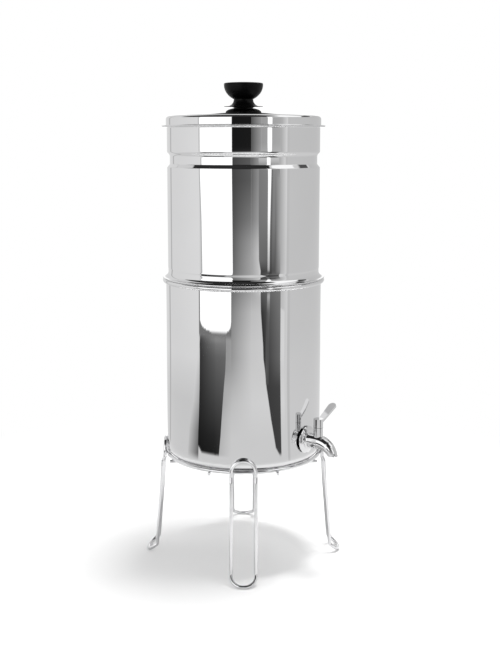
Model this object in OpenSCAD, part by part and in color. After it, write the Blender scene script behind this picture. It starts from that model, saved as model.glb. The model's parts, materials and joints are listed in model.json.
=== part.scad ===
// Gravity water filter: two stacked spun-steel chambers on a wire stand,
// a domed lid with a turned knob, two candle elements and a quarter-turn tap.
// Millimetres, +Z up. The origin is on the chambers' axis, at the floor.
// -Y is the front; the tap stands between the front and +X.

/* [Wire stand] */
// Height of the lower chamber's base above the floor
stand_h = 147.1; // [120:0.1:200]
// Diameter of the wire in the ring and in the four leg loops
wire_d = 5; // [4:0.1:6.5]
// Diameter of the straight wires that cross under the chamber
grid_d = 4; // [3:0.1:5]
// Distance of each crossing wire from the chamber's axis
grid_offset = 46; // [36:1:60]
// How far the crossing wires reach out past the ring
grid_overhang = 2.5; // [1:0.1:4]
// Width of a leg loop, between the centres of its two wires
leg_w = 33; // [26:0.5:42]
// Height of a leg's arch above the chamber's base
arch_h = 18.8; // [12:0.1:24]
// Outward step of a leg just below the ring
leg_jog = 3; // [1:0.1:6]
// Outward lean of a leg's upper stretch, in degrees
lean_top = 3.8; // [0.5:0.1:4.4]
// Outward lean of a leg's lower stretch, in degrees
lean_low = 4.8; // [4.5:0.1:8]
// Distance from the chamber's base down to the bend between the two leans
lean_change = 44; // [30:1:70]
// Height of a leg's knee above the floor
knee_h = 13.5; // [12:0.5:26]
// Outward tilt of a foot, in degrees from upright
foot_tilt = 50; // [20:1:52]
// Clearance between the ring and the chamber's rounded corner
ring_gap = 0.6; // [0.4:0.1:2]
// Clearance between a leg's arch and the chamber's wall
arch_gap = 0.4; // [0.3:0.1:2]

/* [Chambers] */
// Outside radius of the lower chamber
lower_r = 107.7; // [98:0.1:120]
// Height of the lower chamber, from its base to its rolled rim
lower_h = 250.7; // [200:0.1:320]
// Thickness of the chambers' and the lid's sheet steel
wall = 0.8; // [0.6:0.05:1.2]
// Outside radius of the lower chamber's bottom corner
lower_corner = 12; // [9:0.5:20]
// Outside radius of the lower chamber's rolled rim
bead_r = 3.5; // [3:0.1:5]
// Radial clearance of the upper chamber inside the lower one
nest_gap = 2.1; // [1:0.1:3.2]
// How deep the upper chamber sits in the lower one
nest_depth = 17; // [12:0.5:26]
// Height of the upper chamber above the seam between the chambers
upper_h = 205.6; // [180:0.1:280]
// Outside radius of the upper chamber's bottom corner
upper_corner = 8; // [4:0.5:11]
// Distance from the upper chamber's rim down to its groove
groove_drop = 32.9; // [20:0.1:60]
// Depth of the groove
groove_depth = 3.7; // [1:0.1:5]
// Height of the groove's upper shoulder
groove_top = 7.4; // [4:0.1:10]
// Height of the groove's flat band
groove_band = 9.4; // [4:0.1:16]
// Height of the groove's lower shoulder
groove_low = 5; // [3:0.1:8]
// How far the upper chamber's flat rim stands out from its wall
rim_out = 6.4; // [4.5:0.1:9]

/* [Lid] */
// Thickness of the lid's folded brim
brim_t = 1.6; // [1.6:0.1:4]
// Height of the lid's upright skirt above the brim
skirt_h = 8.2; // [4:0.1:16]
// How much wider the lid's skirt is than the chamber, in radius
skirt_step = 1.2; // [0.5:0.1:3]
// Radius of the lid's shoulder
shoulder_r = 4.6; // [2:0.1:6]
// Slope of the lid's dome at its shoulder, in degrees
dome_slope = 14.3; // [8:0.1:22]
// How deep the lid's collar reaches into the chamber
collar_h = 8; // [4:0.5:14]
// Radial clearance of the lid's collar in the chamber's mouth
collar_gap = 0.6; // [0.4:0.1:1.5]

/* [Knob] */
// Radius of the knob's bowl
knob_r = 26.6; // [20:0.05:34]
// Height of the knob's bowl, from its waist to its widest level
knob_bowl_h = 19.2; // [14:0.1:26]
// Radius of the knob's waist
knob_waist_r = 13.2; // [9:0.05:15]
// Height of the knob's waist above the lid
knob_waist_h = 10.8; // [9.5:0.1:16]
// Radius of the knob's foot, to the edge of its thin lip
knob_foot_r = 26.5; // [22:0.1:28]
// Height of the knob's straight edge and its low crown
knob_top_h = 3.3; // [2.6:0.1:6]
// Radius of the knob's screw
knob_screw_r = 2.4; // [2:0.1:3]
// How far the knob's screw reaches into the knob
knob_screw_in = 16; // [8:0.5:20]

/* [Tap] */
// Direction of the tap, in degrees from the front towards the right
tap_angle = 52; // [30:1:60]
// Height of the tap's barrel above the chamber's base
tap_h = 35.7; // [30:0.1:70]
// Radius of the tap's round flange
flange_r = 18.5; // [16:0.1:22]
// Thickness of the flange at its edge
flange_t = 2.2; // [1.6:0.1:4]
// Outside radius of the tap's barrel
barrel_r = 9.5; // [9:0.1:11.5]
// Outside radius of the spout at its outlet
spout_end_r = 6.4; // [5.8:0.1:7.5]
// Radius of the water way through the tap
bore_r = 4.2; // [3:0.1:4.5]
// Radius of the outlet, for a hose tail or a stopper
outlet_r = 4.6; // [4.55:0.05:5]
// Depth of the outlet's straight stretch
outlet_len = 4; // [3:0.1:4.5]
// Distance of the lever's axis from the flange's back face
stem_out = 18.9; // [18:0.1:34]
// Bend radius of the spout
spout_bend = 23; // [20:0.1:30]
// Angle that the spout turns down through, in degrees
spout_turn = 70; // [62:1:76]
// Outside radius of the tap's upright housing and of the lever's cap
cap_r = 6.5; // [6:0.1:7.2]
// Height of the joint between housing and cap above the barrel's axis
joint_h = 20; // [19:0.1:30]
// Height of the lever's cap
cap_h = 11.6; // [9:0.1:16]
// Radius of the valve's stem
stem_r = 3; // [2.4:0.1:3.4]
// Radius of the valve's ball
ball_r = 6.9; // [6.4:0.1:7]
// Radius of the threaded shank
shank_r = 8; // [7.8:0.1:9]
// How far the shank reaches in past the lower chamber's wall
shank_in = 19; // [17:0.5:26]
// Width of the lock nut across its flats
nut_af = 24; // [20:0.5:28]
// Thickness of the lock nut
nut_h = 8; // [5:0.5:9]
// Outside radius of the two rubber washers
seal_r = 13; // [12:0.5:15.5]
// Thickness of the rubber washers at their middle
seal_t = 1.1; // [1:0.1:2.5]

/* [Lever] */
// Direction of the closed lever, in degrees from the spout towards the right
lever_rest = 90; // [80:1:100]
// Slope of the lever's paddle, in degrees above level
paddle_slope = 27; // [20:1:60]
// Length of the lever's paddle, from its root inside the cap to its tip
paddle_len = 42.5; // [28:0.5:48]
// Thickness of the paddle
paddle_t = 3; // [2:0.1:4]
// Half width of the paddle near its tip
paddle_tip_r = 5.5; // [4.5:0.1:7]
// Half width of the paddle at its root
paddle_root_r = 4; // [2.5:0.1:4.2]

/* [Filter elements] */
// Outside radius of a candle
candle_r = 34; // [26:0.5:36]
// Height of a candle's shell, from its base cap to its dome
candle_h = 150; // [100:1:152]
// Wall of a candle's shell
candle_wall = 9; // [6:0.5:12]
// Height of the cap under a candle
base_h = 12; // [8:0.5:16]
// Depth of the cap's recess, which the candle stands in
recess_h = 7; // [4:0.5:7.5]
// Radius of the threaded stems that pass through the upper chamber's floor
pipe_r = 6; // [5:0.1:7]
// How far the stems reach below the floor
pipe_out = 24; // [20:0.5:32]
// Thickness of the washers on the floor
floor_seal_t = 2.5; // [1.5:0.1:4]
// Height of a wing nut's hub
wing_hub_h = 8; // [6:0.5:12]
// Reach of a wing from the hub's axis
wing_reach = 19; // [15:0.5:22]
// Outside radius of a blanking plug's head
plug_head_r = 11; // [10:0.5:14]
// Thickness of a blanking plug's head
plug_head_h = 4; // [3:0.5:8]

/* [Hidden] */
$fn = 72;

// Levels above the floor.
seam_z = stand_h + lower_h;
upper_base_z = seam_z - nest_depth;
rim_z = seam_z + upper_h;
tap_z = stand_h + tap_h;

// Stand: welded wires sink into each other by this much.
weld = 0.3;
// A bend is a little thicker than the straight runs that enter it.
bend_skin = 0.03;
bend_in = 0.3;
ring_z = stand_h - weld + wire_d / 2;
corner_reach = lower_corner + wire_d / 2 + ring_gap;
corner_level = stand_h + lower_corner - ring_z;
ring_r_corner = lower_r - lower_corner + sqrt(pow(corner_reach, 2) - pow(corner_level, 2));
ring_r_wall = norm([lower_r + arch_gap - wire_d / 2 + weld, leg_w / 2]);
ring_r = max(ring_r_corner, ring_r_wall);
arch_x = sqrt(pow(ring_r, 2) - pow(leg_w / 2, 2)) + wire_d - weld;
arch_start_z = stand_h + arch_h - leg_w / 2;
jog_top_z = min(arch_start_z - 3, ring_z - 6);
jog_low_z = jog_top_z - 6;
bend_z = stand_h - lean_change;
bend_x = arch_x + leg_jog + (jog_low_z - bend_z) * tan(lean_top);
knee_x = bend_x + (bend_z - knee_h) * tan(lean_low);
// A foot's two bends are as wide as its length leaves room for, between the
// straight run that the knee's bend needs and a short straight toe.
knee_bend = 4.5;
knee_run = 2.1;
toe_min = 2;
foot_len = (knee_h - wire_d / 2) / cos(foot_tilt);
toe_r = min((leg_w - toe_min) / 2, foot_len - knee_run);
foot_run = foot_len - toe_r;
grid_half = sqrt(pow(ring_r, 2) - pow(grid_offset, 2)) + wire_d / 2 + grid_overhang;
grid_z = stand_h - grid_d / 2;
grid_step = grid_d - weld;

// Chambers.
lower_in = lower_r - wall;
bead_shift = 1;
bead_axis_r = lower_r + bead_shift;
bead_out_r = bead_axis_r + bead_r;
curl_gap = 0.3;
upper_r = lower_in - nest_gap;
upper_in = upper_r - wall;
cove_lip = 0.5;
cove_r = bead_out_r - upper_r - cove_lip;
floor_z = upper_base_z + wall;
hole_circle_r = upper_in / 2;
rim_r = upper_r + rim_out;
rim_bend = 1.5;

// Lid.
brim_edge = brim_t / 2;
brim_over = 0.8;
brim_r = rim_r + brim_over;
brim_top_z = rim_z + brim_t;
skirt_r = upper_r + skirt_step;
skirt_in = skirt_r - wall;
skirt_fillet = 0.4;
collar_r = upper_in - collar_gap;
shoulder_z = brim_top_z + skirt_h;
dome_edge_r = skirt_r - shoulder_r + shoulder_r * sin(dome_slope);
dome_r = dome_edge_r / sin(dome_slope);
dome_z = shoulder_z + shoulder_r * cos(dome_slope) - dome_r * cos(dome_slope);
seat_rim = 0.7;
seat_r = knob_foot_r + seat_rim;
seat_z = dome_z + sqrt(pow(dome_r, 2) - pow(seat_r, 2));
seat_under_r = seat_r - 1.5;

// Knob: the waist falls to the foot in one hollow curve, and a thin flat lip goes on outwards.
knob_foot_t = 1;
neck_r = knob_waist_h - knob_foot_t;
neck_axis_r = knob_waist_r + neck_r;
knob_widest_z = knob_waist_h + knob_bowl_h;
bowl_depth = knob_bowl_h / sqrt(1 - pow(knob_waist_r / knob_r, 2));
knob_crown = 1;
knob_edge = 1.5;
screw_clear = 0.1;
knob_washer_h = 1.2;
knob_head_h = 3;

// Tap, along its own X axis, which starts on the chambers' axis.
flange_x = lower_r + seal_t;
stem_x = flange_x + stem_out;
fit = 0.05;
seat_gap = 0.2;
cavity_r = ball_r + 0.3;
seat_near = 4.6;
seat_far = ball_r + 1.7;
seal_bore = 0.15;
cavity_end_x = stem_x + seat_far;
// The spout starts to bend beside the ball. It thins slowly at first, which
// keeps a wall round the ball's cavity.
spout_lead = 6.6;
spout_x = cavity_end_x - spout_lead;
outlet_x = spout_x + spout_bend * sin(spout_turn);
outlet_z = -spout_bend * (1 - cos(spout_turn));
tail = 4;
// The spout starts a little inside the barrel, and a little thinner.
spout_root = 1;
spout_start_r = barrel_r - 0.05;
collar_z = cavity_r - 0.9;
stem_collar_r = stem_r + 1.2;
stem_collar_h = 2;
ring_groove_h = 2.2;
o_ring_r = 0.75;
cap_gap = 0.4;
cap_top = joint_h + cap_gap + cap_h;
stem_cover = 3;
stem_top = cap_top - stem_cover;
tang_w = 2.9;
tang_h = 1.6;
wall_hole_r = shank_r + 0.5;
seal_fit = 0.1;
nut_x = lower_in - seal_t - (lower_in - sqrt(pow(lower_in, 2) - pow(seal_r, 2)));
// The paddle's root sits inside the cap.
root_in = 2.5;
root_sink = 4.8;
root_x = cap_r - root_in;
root_z = cap_top - root_sink;
lever_screw_r = 1.5;
lever_screw_z = joint_h + cap_gap + cap_h * 0.45;

// Filter elements.
washer_z = floor_z;
base_z = washer_z + floor_seal_t;
pipe_hole_r = pipe_r + 0.5;
thread_gap = 0.15;
pipe_bore_r = pipe_r / 2;
cap_wall = 2;
cap_in_gap = 0.2;
core_gap = 0.4;
wing_t = 3;

// ---------- outlines ----------

// Points on an arc about c, from angle a to angle b.
function arc(c, r, a, b, n = 10) =
  [for (i = [0:n]) let (t = a + (b - a) * i / n) [c[0] + r * cos(t), c[1] + r * sin(t)]];

// Smooth step from radius r0 at height z0 to radius r1 at height z1.
function ease(r0, z0, r1, z1, n = 8) =
  [for (i = [0:n]) let (t = i / n) [r0 + (r1 - r0) * (1 - cos(180 * t)) / 2, z0 + (z1 - z0) * t]];

function turned_back(points) = [for (i = [len(points) - 1:-1:0]) points[i]];

// ---------- wire ----------

function heading(p, q) = atan2(q[1] - p[1], q[0] - p[0]);
function turn_at(pts, i) = heading(pts[i], pts[i + 1]) - heading(pts[i - 1], pts[i]);
function bend_len(pts, radii, i) =
  (i == 0 || i == len(pts) - 1) ? 0 : radii[i] * tan(abs(turn_at(pts, i)) / 2);

// A bent wire in the XZ plane: straight runs that enter round bends, and at
// their outer ends reach end_in further, into whatever closes the wire.
module wire_run(pts, radii, d, end_in = 0) {
  rotate([90, 0, 0]) {
    for (i = [0:len(pts) - 2])
      wire_straight(pts, radii, d, i, i == 0 ? end_in : bend_in, i == len(pts) - 2 ? end_in : bend_in);
    for (i = [1:1:len(pts) - 2])
      wire_bend(pts, radii, d, i);
  }
}

module wire_straight(pts, radii, d, i, start_in, stop_in) {
  a = heading(pts[i], pts[i + 1]);
  start = bend_len(pts, radii, i) - start_in;
  stop = bend_len(pts, radii, i + 1) - stop_in;
  translate([pts[i][0], pts[i][1], 0])
    rotate([0, 0, a])
      translate([start, 0, 0])
        rotate([0, 90, 0])
          cylinder(d = d, h = norm(pts[i + 1] - pts[i]) - start - stop);
}

module wire_bend(pts, radii, d, i) {
  a = heading(pts[i - 1], pts[i]);
  turn = turn_at(pts, i);
  side = sign(turn);
  back = bend_len(pts, radii, i);
  start = pts[i] - back * [cos(a), sin(a)];
  centre = start + side * radii[i] * [-sin(a), cos(a)];
  translate([centre[0], centre[1], 0])
    rotate([0, 0, turn > 0 ? a - 90 : a + 90 + turn])
      rotate_extrude(angle = abs(turn))
        translate([radii[i], 0])
          circle(d = d + 2 * bend_skin);
}

// The half ring that closes the two wires of a leg at its top, at point p.
module leg_arch(p) {
  translate([p[0], 0, p[1]])
    rotate([90, 0, 90])
      rotate_extrude(angle = 180)
        translate([leg_w / 2, 0])
          circle(d = wire_d + 2 * bend_skin);
}

// Two quarter bends and a straight toe that close a leg at its foot, from
// point p on.
module leg_toe(p) {
  toe = leg_w / 2 - toe_r;
  translate([p[0], 0, p[1]])
    rotate([0, 180 - foot_tilt, 0])
      rotate([90, 0, 90]) {
        for (side = [0, 1])
          mirror([side, 0, 0])
            translate([toe, 0, 0])
              rotate_extrude(angle = 90)
                translate([toe_r, 0])
                  circle(d = wire_d + 2 * bend_skin);
        translate([-toe - bend_in, toe_r, 0])
          rotate([0, 90, 0])
            cylinder(d = wire_d, h = 2 * (toe + bend_in));
      }
}

module leg(turn_z) {
  foot = [knee_x + foot_run * sin(foot_tilt), knee_h - foot_run * cos(foot_tilt)];
  pts = [
    [arch_x, arch_start_z], [arch_x, jog_top_z], [arch_x + leg_jog, jog_low_z],
    [bend_x, bend_z], [knee_x, knee_h], foot
  ];
  radii = [0, 4, 4, 60, knee_bend, 0];
  color("silver")
    rotate([0, 0, turn_z]) {
      for (y = [-leg_w / 2, leg_w / 2])
        translate([0, y, 0])
          wire_run(pts, radii, wire_d, bend_in);
      leg_arch(pts[0]);
      leg_toe(foot);
    }
}

module leg_front() leg(-90);
module leg_right() leg(0);
module leg_back() leg(90);
module leg_left() leg(180);

module stand_ring() {
  color("silver")
    translate([0, 0, ring_z])
      rotate_extrude()
        translate([ring_r, 0])
          circle(d = wire_d);
}

// The two wires that run left to right lie on top and are straight.
module upper_grid_wire(y) {
  color("silver")
    translate([0, y, 0])
      wire_run([[-grid_half, grid_z], [grid_half, grid_z]], [0, 0], grid_d);
}

// The two wires that run front to back pass under them, and rise at their
// ends to reach the ring.
module lower_grid_wire(x) {
  low_z = grid_z - grid_step;
  knee = 7;
  run = 9;
  end = grid_half - run;
  pts = [
    [-grid_half, grid_z], [-end, grid_z], [-end + knee, low_z],
    [end - knee, low_z], [end, grid_z], [grid_half, grid_z]
  ];
  color("silver")
    translate([x, 0, 0])
      rotate([0, 0, 90])
        wire_run(pts, [0, 5, 5, 5, 5, 0], grid_d);
}

module grid_wire_front() upper_grid_wire(-grid_offset);
module grid_wire_back() upper_grid_wire(grid_offset);
module grid_wire_left() lower_grid_wire(-grid_offset);
module grid_wire_right() lower_grid_wire(grid_offset);

// ---------- lower chamber ----------

module lower_profile() {
  bead_c = [bead_axis_r, lower_h - bead_r];
  curl_r = bead_r - wall;
  top_a = acos((lower_r - bead_axis_r) / curl_r);
  end_a = acos((lower_r + curl_gap - bead_axis_r) / curl_r);
  end_b = acos((lower_r + curl_gap - bead_axis_r) / bead_r);
  top_b = acos((lower_in - bead_axis_r) / bead_r);
  polygon(concat(
    [[0, 0]],
    arc([lower_r - lower_corner, lower_corner], lower_corner, -90, 0),
    arc(bead_c, curl_r, top_a, -end_a, 20),
    arc(bead_c, bead_r, -end_b, top_b, 24),
    arc([lower_r - lower_corner, lower_corner], lower_corner - wall, 0, -90),
    [[0, wall]]
  ));
}

module lower_shell() {
  color("gainsboro")
    difference() {
      translate([0, 0, stand_h])
        rotate_extrude($fn = 180)
          lower_profile();
      at_tap()
        along_x(lower_in - 6, lower_r + 6, wall_hole_r);
    }
}

// ---------- tap ----------

// The tap's own frame: X leaves the chamber, Z is up.
module at_tap() {
  translate([0, 0, tap_z])
    rotate([0, 0, tap_angle - 90])
      children();
}

// The lever's own frame: X points where the closed lever points, and the ball's
// bore lies along it, so the closed bore lies across the water way.
module at_lever() {
  at_tap()
    translate([stem_x, 0, 0])
      rotate([0, 0, lever_rest])
        children();
}

module along_x(x0, x1, r) {
  translate([x0, 0, 0])
    rotate([0, 90, 0])
      cylinder(r = r, h = x1 - x0);
}

module flange_form() {
  dome = flange_r - barrel_r - 3;
  rotate([0, 90, 0])
    rotate_extrude()
      polygon(concat(
        [[0, 0], [flange_r - 0.6, 0], [flange_r, 0.6], [flange_r, flange_t - 0.8]],
        [[flange_r - 0.8, flange_t]],
        [for (t = [0.25:0.25:1]) [flange_r - 0.8 - dome * t, flange_t + 2.2 * sin(90 * t)]],
        arc([barrel_r + 2.2, flange_t + 4.4], 2.2, 270, 180, 6),
        [[0, flange_t + 4.4]]
      ));
}

// Rings of the tapering spout, swept along its bend and a short straight tail.
function spout_r(s) = spout_start_r + (spout_end_r - spout_start_r) * pow(s, 1.5);
function spout_ring(a, out, r, n) =
  [for (k = [0:n - 1]) let (t = 360 * k / n, w = spout_bend + r * cos(t))
    [spout_x + w * sin(a) + out * cos(a), r * sin(t), w * cos(a) - spout_bend - out * sin(a)]];

module spout_form() {
  steps = 14;
  sides = 36;
  rings = concat(
    [spout_ring(0, -spout_root, spout_start_r, sides)],
    [for (i = [0:steps]) spout_ring(spout_turn * i / steps, 0, spout_r(i / steps), sides)],
    [spout_ring(spout_turn, tail, spout_end_r, sides)]
  );
  last = len(rings) - 1;
  points = [for (ring = rings) for (p = ring) p];
  faces = concat(
    [[for (k = [sides - 1:-1:0]) k]],
    [for (i = [0:last - 1]) for (k = [0:sides - 1])
      [i * sides + k, i * sides + (k + 1) % sides, (i + 1) * sides + (k + 1) % sides, (i + 1) * sides + k]],
    [[for (k = [0:sides - 1]) last * sides + k]]
  );
  polyhedron(points, faces, convexity = 4);
}

module spout_bore() {
  translate([spout_x, 0, -spout_bend])
    rotate([90, 0, 0])
      rotate([0, 0, 90 - spout_turn])
        rotate_extrude(angle = spout_turn)
          translate([spout_bend, 0])
            circle(r = bore_r);
  translate([outlet_x, 0, outlet_z])
    rotate([0, 90 + spout_turn, 0])
      cylinder(r = bore_r, h = tail);
}

module tap_body() {
  color("silver")
    at_tap()
      difference() {
        union() {
          translate([flange_x, 0, 0])
            flange_form();
          along_x(flange_x, spout_x, barrel_r);
          spout_form();
          translate([stem_x, 0, 0])
            cylinder(r = cap_r, h = joint_h);
        }
        // The outlet is cut level.
        translate([spout_x, -20, outlet_z - 20])
          cube([60, 40, 20]);
        along_x(flange_x - 1, cavity_end_x, cavity_r);
        spout_bore();
        translate([outlet_x, 0, outlet_z - 1])
          cylinder(r = outlet_r, h = outlet_len + 1);
        translate([stem_x, 0, 0]) {
          cylinder(r = stem_r + fit, h = joint_h + 1);
          cylinder(r = stem_collar_r + fit, h = collar_z + stem_collar_h + fit);
          translate([0, 0, joint_h - ring_groove_h])
            cylinder(r = stem_r + fit + 2 * o_ring_r + fit, h = ring_groove_h + 1);
        }
      }
}

module tap_shank() {
  color("silver")
    at_tap()
      difference() {
        union() {
          along_x(lower_in - shank_in, flange_x, shank_r);
          along_x(flange_x, stem_x - seat_far, cavity_r - fit);
        }
        along_x(lower_in - shank_in - 1, stem_x, bore_r);
      }
}

// The rubber washers meet the chamber's round wall on one side and a flat on the other.
module tap_outer_washer() {
  color("dimgray")
    difference() {
      at_tap()
        difference() {
          along_x(lower_r - 6, flange_x, seal_r);
          along_x(lower_r - 7, flange_x + 1, shank_r + seal_bore);
        }
      translate([0, 0, tap_z - 2 * seal_r])
        cylinder(r = lower_r + seal_fit, h = 4 * seal_r, $fn = 180);
    }
}

module tap_inner_washer() {
  color("dimgray")
    intersection() {
      at_tap()
        difference() {
          along_x(nut_x, lower_r, seal_r);
          along_x(nut_x - 1, lower_r + 1, shank_r + seal_bore);
        }
      translate([0, 0, tap_z - 2 * seal_r])
        cylinder(r = lower_in - seal_fit, h = 4 * seal_r, $fn = 180);
    }
}

module tap_lock_nut() {
  color("silver")
    at_tap()
      difference() {
        translate([nut_x - nut_h, 0, 0])
          rotate([0, 90, 0])
            cylinder(d = nut_af / cos(30), h = nut_h, $fn = 6);
        along_x(nut_x - nut_h - 1, nut_x + 1, shank_r + fit);
      }
}

module ball_seat(side) {
  color("white")
    at_tap()
      translate([stem_x, 0, 0])
        difference() {
          rotate([0, side * 90, 0])
            translate([0, 0, seat_near])
              cylinder(r = cavity_r - fit, h = seat_far - seat_near);
          sphere(r = ball_r + seat_gap);
          rotate([0, side * 90, 0])
            cylinder(r = bore_r, h = seat_far + 1);
        }
}

module ball_seat_inlet() ball_seat(-1);
module ball_seat_outlet() ball_seat(1);

module stem_o_ring() {
  color("black")
    at_tap()
      translate([stem_x, 0, joint_h - ring_groove_h + o_ring_r])
        rotate_extrude()
          translate([stem_r + fit + o_ring_r, 0])
            circle(r = o_ring_r);
}

// ---------- valve and lever ----------

module valve_ball() {
  color("silver")
    at_lever()
      difference() {
        sphere(r = ball_r);
        rotate([0, 90, 0])
          cylinder(r = bore_r, h = 3 * ball_r, center = true);
        translate([-ball_r, -ball_r, collar_z])
          cube(2 * ball_r);
        translate([-tang_w / 2 - fit, -ball_r, collar_z - tang_h - fit])
          cube([tang_w + 2 * fit, 2 * ball_r, ball_r]);
      }
}

module valve_stem() {
  color("silver")
    at_lever() {
      translate([0, 0, collar_z])
        cylinder(r = stem_collar_r, h = stem_collar_h);
      translate([0, 0, collar_z])
        cylinder(r = stem_r, h = stem_top - collar_z);
      intersection() {
        translate([-tang_w / 2, -ball_r, collar_z - tang_h])
          cube([tang_w, 2 * ball_r, tang_h + 1]);
        cylinder(r = stem_r, h = joint_h);
      }
    }
}

// The paddle is a drop shape: two circles joined by their tangents.
module paddle_outline() {
  span = paddle_len - paddle_tip_r - paddle_root_r;
  lean = asin((paddle_tip_r - paddle_root_r) / span);
  polygon(concat(
    arc([span, 0], paddle_tip_r, -90 - lean, 90 + lean, 24),
    arc([0, 0], paddle_root_r, 90 + lean, 270 - lean, 12)
  ));
}

module tap_lever() {
  color("silver")
    at_lever()
      difference() {
        union() {
          translate([0, 0, joint_h + cap_gap])
            cylinder(r = cap_r, h = cap_h);
          translate([root_x, 0, root_z])
            rotate([0, -paddle_slope, 0])
              translate([0, 0, -paddle_t / 2])
                linear_extrude(paddle_t)
                  paddle_outline();
        }
        cylinder(r = stem_r + fit, h = stem_top);
        translate([0, 0, lever_screw_z])
          rotate([-90, 0, 0])
            cylinder(r = lever_screw_r + fit, h = cap_r + 1);
      }
}

// The screw sits on the cap's side that faces the chamber when the tap is closed.
module lever_screw() {
  socket_r = 0.8;
  color("dimgray")
    at_lever()
      translate([0, 0, lever_screw_z])
        rotate([-90, 0, 0])
          difference() {
            translate([0, 0, stem_r + fit])
              cylinder(r = lever_screw_r, h = cap_r - stem_r - 0.6);
            translate([0, 0, cap_r - 1.7])
              cylinder(r = socket_r, h = 3, $fn = 6);
          }
}

// ---------- upper chamber ----------

module upper_profile() {
  ledge_z = nest_depth;
  cove_z = ledge_z + cove_r + 2 * wall;
  top_z = upper_h + nest_depth;
  groove_z3 = top_z - groove_drop;
  groove_z2 = groove_z3 - groove_top;
  groove_z1 = groove_z2 - groove_band;
  groove_z0 = groove_z1 - groove_low;
  groove_r = upper_r - groove_depth;
  outside = concat(
    [[0, 0]],
    arc([upper_r - upper_corner, upper_corner], upper_corner, -90, 0),
    [[upper_r, ledge_z], [bead_out_r - 0.4, ledge_z], [bead_out_r, ledge_z + 0.4]],
    [[bead_out_r, ledge_z + 2 * wall - 0.3]],
    arc([upper_r + cove_r, cove_z], cove_r, 270, 180, 12),
    ease(upper_r, groove_z0, groove_r, groove_z1),
    ease(groove_r, groove_z2, upper_r, groove_z3),
    arc([upper_r + rim_bend, top_z - wall - rim_bend], rim_bend, 180, 90, 5),
    [[rim_r, top_z - wall], [rim_r, top_z]]
  );
  inside = concat(
    [[0, wall]],
    arc([upper_r - upper_corner, upper_corner], upper_corner - wall, -90, 0),
    [[upper_in, ledge_z + wall]],
    [[upper_r + cove_r - (cove_r + wall) / 2, ledge_z + wall]],
    arc([upper_r + cove_r, cove_z], cove_r + wall, 240, 180, 10),
    ease(upper_in, groove_z0, groove_r - wall, groove_z1),
    ease(groove_r - wall, groove_z2, upper_in, groove_z3),
    arc([upper_r + rim_bend, top_z - wall - rim_bend], rim_bend + wall, 180, 90, 5)
  );
  polygon(concat(outside, turned_back(inside)));
}

// Four holes in the floor: the candles use two, blanking plugs the others.
module at_hole(angle) {
  rotate([0, 0, angle])
    translate([hole_circle_r, 0, 0])
      children();
}

module upper_shell() {
  color("gainsboro")
    difference() {
      translate([0, 0, upper_base_z])
        rotate_extrude($fn = 180)
          upper_profile();
      for (angle = [0:90:270])
        at_hole(angle)
          translate([0, 0, upper_base_z - 1])
            cylinder(r = pipe_hole_r, h = wall + 2);
    }
}

// ---------- filter elements ----------

module floor_washer(angle, r) {
  color("dimgray")
    at_hole(angle)
      translate([0, 0, washer_z])
        difference() {
          cylinder(r = r, h = floor_seal_t);
          translate([0, 0, -1])
            cylinder(r = pipe_r + thread_gap, h = floor_seal_t + 2);
        }
}

module candle_base(angle) {
  cap_r_out = candle_r + cap_wall;
  color("white")
    at_hole(angle)
      difference() {
        union() {
          translate([0, 0, base_z])
            cylinder(r = cap_r_out, h = base_h);
          translate([0, 0, upper_base_z - pipe_out])
            cylinder(r = pipe_r, h = base_z - upper_base_z + pipe_out);
        }
        translate([0, 0, base_z + base_h - recess_h])
          cylinder(r = candle_r + cap_in_gap, h = recess_h + 1);
        translate([0, 0, upper_base_z - pipe_out - 1])
          cylinder(r = pipe_bore_r, h = pipe_out + base_h + 20);
      }
}

module candle_shell(angle) {
  foot_z = base_z + base_h - recess_h;
  inner_r = candle_r - candle_wall;
  crown = 14;
  color("ivory")
    at_hole(angle)
      translate([0, 0, foot_z])
        rotate_extrude()
          polygon(concat(
            [[inner_r, 0], [candle_r, 0]],
            arc([candle_r - crown, candle_h - crown], crown, 0, 90, 12),
            [[0, candle_h], [0, candle_h - candle_wall], [inner_r, candle_h - candle_wall - 6]]
          ));
}

module carbon_core(angle) {
  foot_z = base_z + base_h - recess_h;
  color("black")
    at_hole(angle)
      translate([0, 0, foot_z])
        difference() {
          cylinder(r = candle_r - candle_wall - core_gap, h = candle_h - candle_wall - 8);
          translate([0, 0, -1])
            cylinder(r = pipe_bore_r, h = candle_h - candle_wall - 20);
        }
}

module wing_nut(angle) {
  hub_r = pipe_r + 3.5;
  color("white")
    at_hole(angle)
      translate([0, 0, upper_base_z - wing_hub_h])
        difference() {
          union() {
            cylinder(r = hub_r, h = wing_hub_h);
            translate([-wing_t / 2, -wing_reach, -wing_hub_h / 2])
              cube([wing_t, 2 * wing_reach, wing_hub_h]);
          }
          translate([0, 0, -wing_hub_h])
            cylinder(r = pipe_r + thread_gap, h = 3 * wing_hub_h);
        }
}

module candle_shell_left() candle_shell(180);
module candle_shell_right() candle_shell(0);
module carbon_core_left() carbon_core(180);
module carbon_core_right() carbon_core(0);
module candle_base_left() candle_base(180);
module candle_base_right() candle_base(0);
module candle_washer_left() floor_washer(180, pipe_r + 10);
module candle_washer_right() floor_washer(0, pipe_r + 10);
module wing_nut_left() wing_nut(180);
module wing_nut_right() wing_nut(0);

// ---------- blanking plugs ----------

module blanking_plug(angle) {
  color("white")
    at_hole(angle) {
      translate([0, 0, base_z])
        cylinder(r = plug_head_r, h = plug_head_h);
      translate([0, 0, upper_base_z - wing_hub_h - 4])
        cylinder(r = pipe_r, h = base_z - upper_base_z + wing_hub_h + 4);
    }
}

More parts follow.
